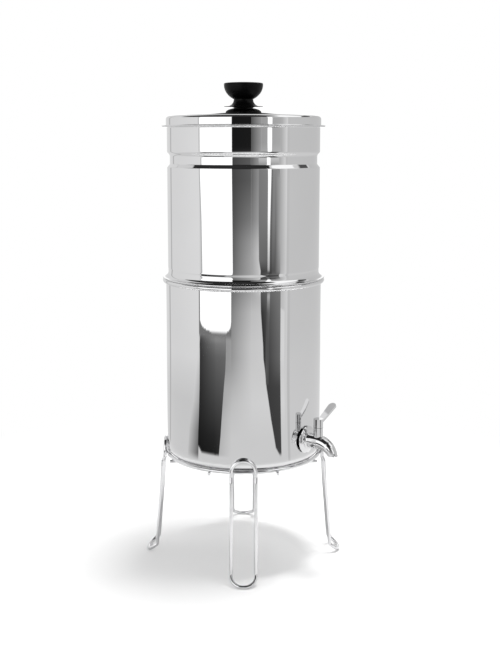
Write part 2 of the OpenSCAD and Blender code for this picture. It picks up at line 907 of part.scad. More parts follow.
module plug_nut(angle) {
  color("white")
    at_hole(angle)
      translate([0, 0, upper_base_z - wing_hub_h])
        difference() {
          cylinder(r = pipe_r + 5, h = wing_hub_h, $fn = 6);
          translate([0, 0, -1])
            cylinder(r = pipe_r + thread_gap, h = wing_hub_h + 2);
        }
}

module blanking_plug_front() blanking_plug(270);
module blanking_plug_back() blanking_plug(90);
module plug_washer_front() floor_washer(270, plug_head_r);
module plug_washer_back() floor_washer(90, plug_head_r);
module plug_nut_front() plug_nut(270);
module plug_nut_back() plug_nut(90);

// ---------- lid ----------

module lid_profile() {
  outside = concat(
    [[collar_r, rim_z - collar_h], [collar_r, rim_z]],
    arc([brim_r - brim_edge, rim_z + brim_edge], brim_edge, -90, 90, 8),
    arc([skirt_r + skirt_fillet, brim_top_z + skirt_fillet], skirt_fillet, 270, 180, 5),
    arc([skirt_r - shoulder_r, shoulder_z], shoulder_r, 0, 90 - dome_slope, 8),
    [for (i = [1:24]) let (a = dome_slope + (asin(seat_r / dome_r) - dome_slope) * i / 24)
      [dome_r * sin(a), dome_z + dome_r * cos(a)]],
    [[0, seat_z]]
  );
  inside = concat(
    [[collar_r - wall, rim_z - collar_h], [collar_r - wall, rim_z + wall], [skirt_in, rim_z + wall]],
    arc([skirt_r - shoulder_r, shoulder_z], shoulder_r - wall, 0, 90 - dome_slope, 8),
    [for (i = [1:24]) let (a = dome_slope + (asin(seat_under_r / dome_r) - dome_slope) * i / 24)
      [(dome_r - wall) * sin(a), dome_z + (dome_r - wall) * cos(a)]],
    [[seat_under_r - 1, seat_z - wall], [0, seat_z - wall]]
  );
  polygon(concat(outside, turned_back(inside)));
}

module lid_shell() {
  color("gainsboro")
    difference() {
      rotate_extrude($fn = 180)
        lid_profile();
      translate([0, 0, seat_z - wall - 1])
        cylinder(r = knob_screw_r + 2 * screw_clear, h = wall + 2);
    }
}

module lid_knob() {
  foot_a = knob_foot_r > neck_axis_r ? 90 : acos((knob_foot_r - neck_axis_r) / neck_r);
  color("#151515")
    translate([0, 0, seat_z])
      difference() {
        rotate_extrude()
          polygon(concat(
            [[0, 0], [knob_foot_r - 0.4, 0], [knob_foot_r, 0.4], [knob_foot_r, knob_foot_t - 0.2]],
            arc([neck_axis_r, knob_waist_h], neck_r, 360 - foot_a, 180, 10),
            [for (i = [0:12])
              let (z = -knob_bowl_h * cos(90 * i / 12))
                [knob_r * sqrt(1 - pow(z / bowl_depth, 2)), knob_widest_z + z]],
            arc([knob_r - knob_edge, knob_widest_z + knob_top_h - knob_crown - knob_edge],
                knob_edge, 0, 80, 5),
            [[0, knob_widest_z + knob_top_h]]
          ));
        translate([0, 0, -1])
          cylinder(r = knob_screw_r + screw_clear, h = knob_screw_in + 2);
      }
}

module knob_washer() {
  color("dimgray")
    translate([0, 0, seat_z - wall - knob_washer_h])
      difference() {
        cylinder(r = 3.2 * knob_screw_r, h = knob_washer_h);
        translate([0, 0, -1])
          cylinder(r = knob_screw_r + 2 * screw_clear, h = knob_washer_h + 2);
      }
}

module knob_screw() {
  under_z = seat_z - wall - knob_washer_h;
  color("silver")
    difference() {
      union() {
        translate([0, 0, under_z])
          cylinder(r = knob_screw_r, h = seat_z - under_z + knob_screw_in);
        translate([0, 0, under_z - knob_head_h])
          cylinder(r = 2 * knob_screw_r, h = knob_head_h);
      }
      translate([0, 0, under_z - knob_head_h - 1])
        cylinder(r = knob_screw_r * 0.7, h = 2.5, $fn = 6);
    }
}

// ---------- what is drawn ----------

stand_ring();
grid_wire_front();
grid_wire_back();
grid_wire_left();
grid_wire_right();
leg_front();
leg_right();
leg_back();
leg_left();
lower_shell();
tap_body();
tap_shank();
tap_outer_washer();
tap_inner_washer();
tap_lock_nut();
ball_seat_inlet();
ball_seat_outlet();
stem_o_ring();
valve_ball();
valve_stem();
tap_lever();
lever_screw();
upper_shell();
candle_shell_left();
candle_shell_right();
carbon_core_left();
carbon_core_right();
candle_base_left();
candle_base_right();
candle_washer_left();
candle_washer_right();
wing_nut_left();
wing_nut_right();
blanking_plug_front();
blanking_plug_back();
plug_washer_front();
plug_washer_back();
plug_nut_front();
plug_nut_back();
lid_shell();
lid_knob();
knob_washer();
knob_screw();
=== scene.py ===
# %% [markdown]
# # A gravity water filter in polished steel
# The object is two spun-steel chambers, one nested in the other, on a stand of bent
# wire, with a domed lid, a black knob and a quarter-turn tap. Nearly everything on it
# is a mirror, so this lesson is about three things: surfaces smooth enough to reflect
# cleanly, finishes that are never quite perfect, and a studio worth reflecting.

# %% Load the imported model
import bpy
import json
import math
import numpy as np
from mathutils import Euler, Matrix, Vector


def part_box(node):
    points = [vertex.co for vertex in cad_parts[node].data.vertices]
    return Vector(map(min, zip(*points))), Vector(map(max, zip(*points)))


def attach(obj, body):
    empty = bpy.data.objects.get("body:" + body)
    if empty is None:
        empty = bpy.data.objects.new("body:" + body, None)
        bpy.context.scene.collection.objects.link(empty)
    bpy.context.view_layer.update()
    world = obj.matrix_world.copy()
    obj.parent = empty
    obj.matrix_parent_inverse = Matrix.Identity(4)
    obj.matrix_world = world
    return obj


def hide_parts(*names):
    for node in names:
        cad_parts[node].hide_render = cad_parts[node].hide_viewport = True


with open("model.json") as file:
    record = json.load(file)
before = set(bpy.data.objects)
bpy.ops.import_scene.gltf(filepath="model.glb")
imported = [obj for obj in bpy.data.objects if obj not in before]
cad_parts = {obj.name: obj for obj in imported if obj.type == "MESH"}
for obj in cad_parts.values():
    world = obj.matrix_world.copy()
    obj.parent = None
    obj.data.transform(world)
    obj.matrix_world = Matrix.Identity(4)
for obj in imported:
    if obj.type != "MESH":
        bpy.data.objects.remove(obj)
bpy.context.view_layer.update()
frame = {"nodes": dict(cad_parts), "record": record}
MM = 0.001

# %% [markdown]
# ## The camera
# A tall object is best photographed with a long lens from about the height of its lid,
# tilted down a little: the rims show as thin ellipses and the sides stay nearly parallel.
# The lens is worked out from a focal length in pixels, and the small shift sets the object
# a little left of the middle.

# %% Camera
FRAME_H = 647
FOCAL_PX = 1015.4
SENSOR_MM = 36.0
AXIS_OFFSET_PX = 6.5
CENTRE_DROP_PX = -35.3
CAMERA_BACK, CAMERA_UP = 1.4041, 0.5821
CAMERA_TILT = math.radians(8.166)

camera_data = bpy.data.cameras.new("camera")
camera_data.sensor_width = SENSOR_MM
camera_data.lens = FOCAL_PX / FRAME_H * SENSOR_MM
camera_data.shift_x = AXIS_OFFSET_PX / FRAME_H
camera_data.shift_y = CENTRE_DROP_PX / FRAME_H
camera = bpy.data.objects.new("camera", camera_data)
camera.location = (0.0, -CAMERA_BACK, CAMERA_UP)
camera.rotation_euler = Euler((math.pi / 2 - CAMERA_TILT, 0.0, 0.0))
bpy.context.scene.collection.objects.link(camera)
bpy.context.scene.camera = camera
bpy.context.scene.view_settings.view_transform = "Standard"
print("lens", round(camera_data.lens, 2), "mm")

# %% [markdown]
# ## Small helpers for meshes and materials
# Three helpers do most of the work. One links a mesh made from points and faces, one
# starts a material with its nodes, and one wires two sockets together.

# %% Mesh helper
def make_mesh(name, points, faces, smooth=True):
    """An object from points in metres and faces of point numbers."""
    mesh = bpy.data.meshes.new(name)
    mesh.from_pydata([tuple(p) for p in points], [], [tuple(f) for f in faces])
    mesh.validate()
    mesh.polygons.foreach_set("use_smooth", [smooth] * len(mesh.polygons))
    made = bpy.data.objects.new(name, mesh)
    bpy.context.scene.collection.objects.link(made)
    return made


# %% Material helpers
def start_material(name, **values):
    """A material with one Principled shader, whose named sockets get plain values."""
    material = bpy.data.materials.new(name)
    material.use_nodes = True
    shader = material.node_tree.nodes["Principled BSDF"]
    for socket, value in values.items():
        shader.inputs[socket.replace("_", " ")].default_value = value
    return material, material.node_tree, shader


def add_node(tree, kind, inputs=None, **settings):
    """A shader node with its settings, and with its inputs set or linked."""
    made = tree.nodes.new(kind)
    for key, value in settings.items():
        setattr(made, key, value)
    for socket, value in (inputs or {}).items():
        if isinstance(value, bpy.types.NodeSocket):
            tree.links.new(value, made.inputs[socket])
        else:
            made.inputs[socket].default_value = value
    return made


def place(tree):
    """The surface point in the object's own metres."""
    return add_node(tree, "ShaderNodeTexCoord").outputs["Object"]


def stretched(tree, vector, scale):
    """The same point, squeezed or stretched along each axis."""
    mapping = add_node(tree, "ShaderNodeMapping", {"Vector": vector, "Scale": scale})
    return mapping.outputs["Vector"]


def noise(tree, vector, scale, detail=2.0, roughness=0.5):
    """Soft noise from 0 to 1."""
    inputs = {"Vector": vector, "Scale": scale, "Detail": detail, "Roughness": roughness}
    return add_node(tree, "ShaderNodeTexNoise", inputs).outputs["Fac"]


def between(tree, factor, low, high, start=0.3, stop=0.7):
    """A number that goes from low to high as the factor goes from start to stop."""
    inputs = {"Value": factor, "From Min": start, "From Max": stop, "To Min": low, "To Max": high}
    return add_node(tree, "ShaderNodeMapRange", inputs).outputs["Result"]


def shade_between(tree, factor, dark, light, start=0.3, stop=0.7):
    """A colour that goes from dark to light as the factor goes from start to stop."""
    ramp = add_node(tree, "ShaderNodeValToRGB", {"Fac": factor})
    ramp.color_ramp.elements[0].position = start
    ramp.color_ramp.elements[0].color = (*dark, 1.0)
    ramp.color_ramp.elements[1].position = stop
    ramp.color_ramp.elements[1].color = (*light, 1.0)
    return ramp.outputs["Color"]


def bump(tree, shader, height, distance, strength=1.0, under=None):
    """Raises the surface by up to a distance in metres, on top of a coarser bump."""
    inputs = {"Height": height, "Distance": distance, "Strength": strength}
    if under is not None:
        inputs["Normal"] = under
    made = add_node(tree, "ShaderNodeBump", inputs)
    tree.links.new(made.outputs["Normal"], shader.inputs["Normal"])
    return made.outputs["Normal"]


# %% [markdown]
# ## The studio
# A mirror shows its surroundings and nothing else, so the studio is modelled too. The
# floor is pale and catches the soft shadows of lamps that no mirror sees. What the mirrors
# see instead is one large painted screen that stands round the object: a white softbox on
# the left, a dark doorway and a room in front, a thin strip light and a dark flag on the
# right, and pale walls behind. Overhead it leans in as a ceiling, dark in front and over the
# middle of the back wall, pale elsewhere, with a lamp and a beam on the right.

# %% Floor and world
FLOOR_HALF = 6.0
FLOOR_COLOUR = (0.80, 0.80, 0.80)
FLOOR_LIFT = 0.20
SHADOW_REACH, SHADOW_END = 0.30, 0.75
PAPER_GRAIN, PAPER_DARK = 900.0, 0.995
WHITE = (1.0, 1.0, 1.0, 1.0)

floor_corners = [(x, y, 0.0) for x, y in ((-1, -1), (1, -1), (1, 1), (-1, 1))]
floor_points = [Vector(c) * FLOOR_HALF for c in floor_corners]
floor = make_mesh("floor", floor_points, [(0, 1, 2, 3)], smooth=False)
floor_paint, tree, shader = start_material("floor_paper", Roughness=0.9, Specular_IOR_Level=0.0)
grain = noise(tree, place(tree), PAPER_GRAIN)
paper = shade_between(tree, grain, [c * PAPER_DARK for c in FLOOR_COLOUR], FLOOR_COLOUR)
tree.links.new(paper, shader.inputs["Base Color"])
is_seen = add_node(tree, "ShaderNodeLightPath").outputs["Is Camera Ray"]
lift = add_node(tree, "ShaderNodeEmission", {"Color": WHITE})
seen = add_node(tree, "ShaderNodeMath", {0: is_seen, 1: FLOOR_LIFT}, operation="MULTIPLY")
tree.links.new(seen.outputs[0], lift.inputs["Strength"])
near = add_node(tree, "ShaderNodeAddShader", {0: shader.outputs["BSDF"], 1: lift.outputs["Emission"]})
white = add_node(tree, "ShaderNodeEmission", {"Color": WHITE})
away = add_node(tree, "ShaderNodeVectorMath", {0: place(tree)}, operation="LENGTH")
fade = between(tree, away.outputs["Value"], 0.0, 1.0, SHADOW_REACH, SHADOW_END)
seen_fade = add_node(tree, "ShaderNodeMath", {0: fade, 1: is_seen}, operation="MULTIPLY")
paper_or_white = add_node(tree, "ShaderNodeMixShader", {"Fac": seen_fade.outputs[0]})
tree.links.new(near.outputs["Shader"], paper_or_white.inputs[1])
tree.links.new(white.outputs["Emission"], paper_or_white.inputs[2])
tree.links.new(paper_or_white.outputs["Shader"], tree.nodes["Material Output"].inputs["Surface"])
floor.data.materials.append(floor_paint)

AMBIENT = 0.55
WALL_SEEN = 0.82
world = bpy.data.worlds.new("studio_air")
bpy.context.scene.world = world
world.use_nodes = True
air = world.node_tree
ray = add_node(air, "ShaderNodeLightPath")
camera_range = {"Value": ray.outputs["Is Camera Ray"], "To Min": AMBIENT, "To Max": 1.0}
to_camera = add_node(air, "ShaderNodeMapRange", camera_range)
mirror_range = {"Value": ray.outputs["Is Glossy Ray"], "To Max": WALL_SEEN}
to_mirror = add_node(air, "ShaderNodeMapRange", mirror_range)
air.links.new(to_camera.outputs["Result"], to_mirror.inputs["To Min"])
air.links.new(to_mirror.outputs["Result"], air.nodes["Background"].inputs["Strength"])
air.nodes["Background"].inputs["Color"].default_value = WHITE
print("floor", FLOOR_HALF * 2, "m wide; ambient light", AMBIENT)


# %% Lamps
def lamp(name, place_m, aim_m, size_m, watts):
    """A square soft lamp that mirrors don't see, because the screen stands for it there."""
    data = bpy.data.lights.new(name, "AREA")
    data.size = size_m
    data.energy = watts
    made = bpy.data.objects.new(name, data)
    made.location = place_m
    made.rotation_euler = (Vector(aim_m) - Vector(place_m)).to_track_quat("-Z", "Y").to_euler()
    made.visible_glossy = False
    bpy.context.scene.collection.objects.link(made)
    return made


lamp("lamp_overhead", place_m=(0.24, 0.06, 2.3), aim_m=(0.0, 0.0, 0.0), size_m=0.5, watts=37.0)
lamp("lamp_behind", place_m=(0.60, 1.00, 1.7), aim_m=(0.0, 0.0, 0.0), size_m=0.6, watts=6.0)
lamp("lamp_fill", place_m=(-0.9, -1.6, 1.9), aim_m=(0.0, 0.0, 0.3), size_m=1.6, watts=6.0)

# %% The screen that only mirrors see
SCREEN_R, SCREEN_TOP, FLOOR_IN = 1.5, 1.40, 0.45
SCREEN_FADE = 0.15
OFF_FLOOR = 0.002
GREY_WALL = 0.80


def soft_step(distance, softness):
    """0 before an edge and 1 after it, with a smooth change of a given width between."""
    t = np.clip(distance / softness + 0.5, 0.0, 1.0)
    return t * t * (3.0 - 2.0 * t)


def panel(side_soft, end_soft, rows):
    """A painted patch: its rows, the softness of its sides in degrees and of its ends in metres."""
    return rows, side_soft, end_soft


def painted(azimuth, run, panels):
    """The brightness at an azimuth and a run, where later panels cover earlier ones."""
    light = np.full(azimuth.shape, GREY_WALL)
    for rows, side_soft, end_soft in panels:
        runs, left, right, first, last = zip(*rows)
        from_left = azimuth - np.interp(run, runs, left)
        to_right = np.interp(run, runs, right) - azimuth
        t = np.clip(from_left / (from_left + to_right), 0.0, 1.0)
        value = np.interp(run, runs, first) * (1.0 - t) + np.interp(run, runs, last) * t
        cover = soft_step(from_left, side_soft) * soft_step(to_right, side_soft)
        cover = cover * soft_step(run - runs[0], end_soft) * soft_step(runs[-1] - run, end_soft)
        light = light * (1.0 - cover) + value * cover
    return light


def screen_point(azimuth, run):
    """A point of the screen: below zero along the floor, then up the wall, then in overhead."""
    radius = SCREEN_R + min(run, 0.0) - max(run - SCREEN_TOP, 0.0)
    height = min(max(run, OFF_FLOOR), SCREEN_TOP)
    a = math.radians(azimuth)
    return (radius * math.sin(a), -radius * math.cos(a), height)


# %% Walls and backdrop round the object
# A panel's row holds: run, left and right azimuth, brightness at the left and right.
LEFT_WALL = panel(2.0, 0.05, [
    (-1.2, -200, -66, 0.80, 0.80),
    (-0.5, -200, -66, 0.72, 0.76),
    (0.0, -200, -66, 0.76, 0.92),
    (0.2, -200, -66, 0.74, 0.94),
    (1.5, -200, -66, 0.76, 0.94),
])
LEFT_SHADE = panel(2.0, 0.06, [
    (-0.90, -84, -65, 0.66, 0.12),
    (-0.72, -82, -65, 0.70, 0.22),
    (-0.48, -76, -65, 0.80, 0.52),
    (-0.15, -72, -65, 0.90, 0.72),
    (0.02, -70, -65, 0.92, 0.88),
])
LEFT_SEAM = panel(2.5, 0.05, [
    (-0.9, -138.5, -134, 0.52, 0.52),
    (0.2, -138.5, -134, 0.52, 0.52),
    (1.5, -136, -131, 0.62, 0.62),
])
RIGHT_WALL = panel(1.5, 0.05, [
    (-1.2, 53.5, 200, 0.80, 0.80),
    (0.0, 53.5, 200, 0.76, 0.72),
    (0.2, 53.5, 200, 0.72, 0.66),
    (0.5, 53.5, 200, 0.72, 0.63),
    (1.5, 53.5, 200, 0.66, 0.60),
])
RIGHT_GLOW = panel(2.2, 0.05, [
    (-1.2, 54, 64, 0.76, 0.78),
    (-0.3, 54, 63, 0.74, 0.84),
    (0.17, 54, 65, 0.66, 0.84),
    (0.26, 54, 65, 0.52, 0.84),
    (0.50, 54, 66, 0.52, 0.92),
    (1.5, 54, 66, 0.52, 0.90),
])
RIGHT_SEAM = panel(1.5, 0.05, [
    (-1.2, 64, 67.5, 0.64, 0.66),
    (0.3, 65, 69.5, 0.66, 0.68),
    (1.5, 66, 70, 0.70, 0.70),
])
BACKDROP_LEFT = panel(10.0, 0.06, [
    (0.03, -200, -166, 1.25, 1.25),
    (1.38, -200, -166, 1.25, 1.25),
])
BACKDROP_RIGHT = panel(10.0, 0.06, [
    (0.03, 166, 200, 1.25, 1.25),
    (1.38, 166, 200, 1.25, 1.25),
])
WALLS = [LEFT_WALL, LEFT_SHADE, LEFT_SEAM, RIGHT_WALL, RIGHT_GLOW, RIGHT_SEAM, BACKDROP_LEFT, BACKDROP_RIGHT]
print("walls and backdrop:", len(WALLS), "panels")

# %% The room in front
ROOM = panel(0.5, 0.05, [
    (-1.2, -18, 10.7, 0.81, 0.81),
    (-0.75, -18, 10.7, 0.80, 0.80),
    (-0.48, -18, 10.7, 0.68, 0.83),
    (-0.15, -18, 10.7, 0.46, 0.79),
    (0.04, -18, 10.7, 0.37, 0.76),
    (0.13, -18, 10.7, 0.28, 0.66),
    (0.18, -18, 10.7, 0.20, 0.50),
    (0.27, -18, 10.7, 0.13, 0.49),
    (0.32, -18, 10.7, 0.12, 0.42),
    (0.376, -18, 10.7, 0.095, 0.265),
    (0.48, -18, 10.7, 0.072, 0.14),
    (1.6, -18, 10.7, 0.07, 0.14),
])
ROOM_LIGHT = panel(1.0, 0.05, [
    (-1.2, 10.7, 60, 0.81, 0.79),
    (-0.75, 10.7, 60, 0.80, 0.80),
    (-0.48, 10.7, 60, 0.84, 0.88),
    (-0.15, 10.7, 60, 0.79, 0.84),
    (0.04, 10.7, 60, 0.76, 0.90),
    (0.13, 10.7, 60, 0.68, 0.88),
    (0.18, 10.7, 22, 0.50, 0.70),
    (0.29, 10.7, 22, 0.46, 0.76),
    (0.32, 10.7, 22, 0.42, 0.66),
    (0.376, 10.7, 22, 0.265, 0.46),
    (0.48, 10.7, 22, 0.16, 0.38),
    (1.6, 10.7, 22, 0.15, 0.38),
])
DARK_DOOR = panel(0.6, 0.025, [
    (0.552, -18, 10.8, 0.012, 0.015),
    (1.6, -18, 10.8, 0.010, 0.012),
])
HALL_LEFT = panel(0.8, 0.03, [
    (0.545, 11, 25, 0.13, 0.50),
    (0.58, 11, 25, 0.12, 0.42),
    (1.6, 11, 25, 0.11, 0.42),
])
HALL_RIGHT = panel(0.8, 0.03, [
    (0.545, 25, 54, 0.56, 0.64),
    (0.58, 25, 54, 0.43, 0.54),
    (1.6, 25, 54, 0.45, 0.56),
])
ROOM_AHEAD = [ROOM, ROOM_LIGHT, DARK_DOOR, HALL_LEFT, HALL_RIGHT]
print("room in front:", len(ROOM_AHEAD), "panels")

# %% The flag and the strip light
FLAG = panel(1.0, 0.03, [
    (-0.87, 50.5, 53.5, 0.07, 0.08),
    (-0.82, 45, 53.5, 0.06, 0.07),
    (-0.61, 38.5, 53.5, 0.06, 0.07),
    (-0.33, 32.3, 53.5, 0.06, 0.08),
    (-0.15, 30.3, 53.5, 0.04, 0.15),
    (0.04, 27.5, 53.5, 0.035, 0.19),
    (0.13, 24.3, 53.5, 0.035, 0.23),
    (0.18, 23.8, 53.5, 0.12, 0.24),
    (0.24, 24.5, 53.5, 0.06, 0.14),
    (0.27, 22.0, 53.5, 0.19, 0.14),
    (0.376, 21.5, 53.5, 0.24, 0.28),
    (0.53, 21.5, 53.5, 0.26, 0.36),
])
FLAG_EDGE = panel(1.5, 0.03, [
    (0.22, 46, 54.5, 0.12, 0.34),
    (0.32, 46, 54.5, 0.15, 0.55),
    (0.50, 46, 54.5, 0.30, 0.50),
])
STRIP_SHADE = panel(1.0, 0.02, [
    (0.22, 36, 41, 0.05, 0.06),
    (0.27, 36, 41.3, 0.11, 0.12),
    (0.376, 36, 41.5, 0.16, 0.18),
    (0.52, 38, 42.5, 0.20, 0.22),
])
STRIP_DIM = panel(1.2, 0.02, [
    (-0.30, 31.5, 35.5, 0.10, 0.09),
    (-0.15, 31, 36.0, 0.14, 0.10),
    (0.04, 31, 36.5, 0.11, 0.11),
    (0.10, 32, 36.5, 0.10, 0.15),
    (0.13, 32.5, 37, 0.12, 0.20),
    (0.155, 33, 37, 0.30, 0.36),
    (0.18, 33.3, 37.3, 0.60, 0.62),
])
STRIP = panel(0.6, 0.02, [
    (0.232, 34.6, 37.8, 0.25, 0.25),
    (0.25, 34.6, 37.8, 0.60, 0.60),
    (0.32, 34.7, 38.0, 1.0, 1.0),
    (0.376, 34.7, 38.4, 1.3, 1.3),
    (0.49, 35.0, 39.8, 1.5, 1.5),
    (0.54, 34.6, 40.2, 1.5, 1.5),
    (0.58, 34.0, 40.7, 1.5, 1.5),
    (1.35, 34.0, 40.7, 1.5, 1.5),
])
FLAG_AND_STRIP = [FLAG, FLAG_EDGE, STRIP_SHADE, STRIP_DIM, STRIP]
print("flag and strip light:", len(FLAG_AND_STRIP), "panels")

# %% The softbox and what shows under it
SOFTBOX_EDGE = panel(0.6, 0.02, [
    (0.06, -65.8, -17, 0.22, 0.22),
    (0.19, -65.8, -17, 0.26, 0.26),
    (0.23, -63.6, -15.5, 0.55, 0.55),
    (0.376, -64.4, -15.7, 0.58, 0.58),
    (0.50, -66.6, -16.3, 0.55, 0.55),
    (1.36, -68.0, -16.8, 0.55, 0.55),
])
UNDER_LEFT = panel(0.8, 0.015, [
    (-0.862, -60, -38, 0.010, 0.018),
    (-0.82, -66, -38, 0.013, 0.022),
    (-0.735, -66, -38, 0.016, 0.030),
    (-0.61, -65.5, -38, 0.022, 0.052),
    (-0.33, -65, -38, 0.032, 0.10),
    (-0.15, -65, -38, 0.040, 0.128),
    (0.005, -65, -38, 0.040, 0.16),
    (0.04, -65, -38, 0.05, 0.24),
    (0.068, -64, -38, 0.08, 0.45),
])
UNDER_RIGHT = panel(0.8, 0.015, [
    (-0.862, -40, -33.5, 0.018, 0.03),
    (-0.735, -40, -31.5, 0.030, 0.045),
    (-0.61, -40, -30.2, 0.052, 0.065),
    (-0.33, -40, -27.3, 0.10, 0.12),
    (-0.15, -40, -25.3, 0.128, 0.16),
    (0.005, -40, -24.6, 0.16, 0.18),
    (0.04, -40, -24.2, 0.24, 0.27),
    (0.068, -40, -24, 0.45, 0.36),
])
BESIDE_PATCH = panel(0.8, 0.015, [
    (-0.862, -33.5, -17, 0.62, 0.80),
    (-0.735, -31.5, -17, 0.62, 0.78),
    (-0.61, -30.2, -17, 0.60, 0.74),
    (-0.48, -28.7, -17, 0.53, 0.67),
    (-0.33, -27.3, -17, 0.53, 0.58),
    (-0.15, -25.3, -17, 0.42, 0.48),
    (0.04, -24.2, -17, 0.40, 0.44),
    (0.068, -24, -17, 0.46, 0.44),
])
SOFTBOX = panel(0.5, 0.012, [
    (0.074, -46.0, -24.0, 1.5, 1.5),
    (0.081, -56.0, -20.0, 1.5, 1.5),
    (0.089, -61.0, -18.0, 1.5, 1.5),
    (0.103, -64.0, -17.2, 1.5, 1.5),
    (0.19, -64.0, -17.0, 1.5, 1.5),
    (0.23, -61.6, -15.2, 1.5, 1.5),
    (0.376, -62.6, -15.7, 1.5, 1.5),
    (0.50, -65.0, -16.3, 1.5, 1.5),
    (1.36, -66.3, -16.8, 1.5, 1.5),
])
SOFTBOX_AND_UNDER = [UNDER_LEFT, UNDER_RIGHT, BESIDE_PATCH, SOFTBOX_EDGE, SOFTBOX]
print("softbox:", len(SOFTBOX_AND_UNDER), "panels")

# %% The ceiling
CEILING_BACK = panel(2.0, 0.02, [
    (1.36, -200, 200, 0.80, 0.80),
    (2.9, -200, 200, 0.80, 0.80),
])
CEILING_REAR_LEFT = panel(3.0, 0.02, [
    (1.33, -200, -166, 0.03, 0.03),
    (1.7, -200, -166, 0.03, 0.03),
])
CEILING_REAR_RIGHT = panel(3.0, 0.02, [
    (1.33, 166, 200, 0.03, 0.03),
    (1.7, 166, 200, 0.03, 0.03),
])
CEILING_DARK = panel(3.0, 0.02, [
    (1.27, -108, 33, 0.03, 0.03),
    (1.55, -108, 38, 0.03, 0.03),
    (2.1, -108, 62, 0.03, 0.03),
    (2.9, -108, 72, 0.03, 0.03),
])
CEILING_LAMP = panel(4.0, 0.02, [
    (1.27, 33, 97, 1.3, 1.3),
    (1.75, 44, 106, 1.3, 1.3),
    (2.2, 70, 108, 1.3, 1.3),
    (2.9, 72, 108, 1.3, 1.3),
])
CEILING_BEAM = panel(3.0, 0.02, [
    (1.27, 97, 118, 0.1, 0.1),
    (1.5, 102, 134, 0.1, 0.1),
    (1.75, 106, 138, 0.1, 0.1),
    (1.9, 110, 140, 0.1, 0.1),
])
CEILING = [CEILING_BACK, CEILING_REAR_LEFT, CEILING_REAR_RIGHT, CEILING_DARK, CEILING_LAMP, CEILING_BEAM]
print("ceiling:", len(CEILING), "panels")

# %% Build the screen
# Later panels cover earlier ones, so the order matters. The front and the low rows, where
# the panels have most edges, have the smallest faces.
PANELS = WALLS + ROOM_AHEAD + FLAG_AND_STRIP + SOFTBOX_AND_UNDER + CEILING
FRONT_DEG, COARSE_DEG, FINE_DEG = 80, 1.0, 0.25
LOW_RUN, MIDDLE_RUN, LAST_RUN = 0.30, 0.70, SCREEN_TOP + SCREEN_R - 0.02
FINE_STEP, MIDDLE_STEP, COARSE_STEP = 0.004, 0.01, 0.04
azimuths = np.concatenate([
    np.arange(-180, -FRONT_DEG, COARSE_DEG),
    np.arange(-FRONT_DEG, FRONT_DEG, FINE_DEG),
    np.arange(FRONT_DEG, 180, COARSE_DEG),
])
runs = np.concatenate([
    np.arange(FLOOR_IN - SCREEN_R, 0.0, MIDDLE_STEP),
    np.arange(0.0, LOW_RUN, FINE_STEP),
    np.arange(LOW_RUN, MIDDLE_RUN, MIDDLE_STEP),
    np.arange(MIDDLE_RUN, LAST_RUN, COARSE_STEP),
])
wide, tall = len(azimuths), len(runs)
across, up = np.meshgrid(azimuths, runs)
light = painted(across, up, PANELS)
solid = np.clip((up - runs[0]) / SCREEN_FADE, 0.0, 1.0)
screen_points = [screen_point(azimuth, run) for run in runs for azimuth in azimuths]
screen_faces = []
for row in range(0, (tall - 1) * wide, wide):
    for i in range(wide):
        j = (i + 1) % wide
        screen_faces.append((row + i, row + j, row + wide + j, row + wide + i))
screen = make_mesh("studio_screen", screen_points, screen_faces, smooth=False)
paint = screen.data.color_attributes.new("brightness", "FLOAT_COLOR", "POINT")
paint.data.foreach_set("color", np.stack([light, light, light, solid], axis=-1).ravel())

screen_light = bpy.data.materials.new("screen_light")
screen_light.use_nodes = True
tree = screen_light.node_tree
tree.nodes.remove(tree.nodes["Principled BSDF"])
paint = add_node(tree, "ShaderNodeVertexColor", layer_name="brightness")
glow = add_node(tree, "ShaderNodeEmission", {"Color": paint.outputs["Color"]})
clear = add_node(tree, "ShaderNodeBsdfTransparent")
mixed = add_node(tree, "ShaderNodeMixShader", {"Fac": paint.outputs["Alpha"]})
tree.links.new(clear.outputs["BSDF"], mixed.inputs[1])
tree.links.new(glow.outputs["Emission"], mixed.inputs[2])
tree.links.new(mixed.outputs["Shader"], tree.nodes["Material Output"].inputs["Surface"])
screen.data.materials.append(screen_light)
screen.visible_camera = False
screen.visible_diffuse = False
screen.visible_shadow = False
screen.visible_transmission = False
print("screen:", len(PANELS), "panels on", len(screen_faces), "faces")

# %% [markdown]
# ## Polished steel
# Spun steel is polished on the lathe, so what little texture it has runs round it: faint
# turning lines, a slow waviness that bends reflections by a hair, and wipe marks that
# change the gloss. The shader is a plain metal; the character is all in its bump and
# roughness, kept small enough that the mirror stays a mirror.

# %% Steel materials
def polished_steel(name, tint, gloss_low, gloss_high, ripple, line_depth):
    """Lathe-polished sheet steel."""
    material, tree, shader = start_material(name, Metallic=1.0, Roughness=gloss_low)
    where = place(tree)
    wipes = noise(tree, stretched(tree, where, (9.0, 9.0, 22.0)), 1.0, 4.0, 0.6)
    tree.links.new(between(tree, wipes, gloss_low, gloss_high), shader.inputs["Roughness"])
    cloud = noise(tree, where, 14.0, 3.0)
    dark = [c * 0.975 for c in tint]
    tree.links.new(shade_between(tree, cloud, dark, tint), shader.inputs["Base Color"])
    waves = noise(tree, stretched(tree, where, (9.0, 9.0, 5.0)), 1.0, 1.0)
    slow = bump(tree, shader, waves, ripple)
    lines = noise(tree, stretched(tree, where, (3.0, 3.0, 2600.0)), 1.0, 2.0)
    bump(tree, shader, lines, line_depth, under=slow)
    return material


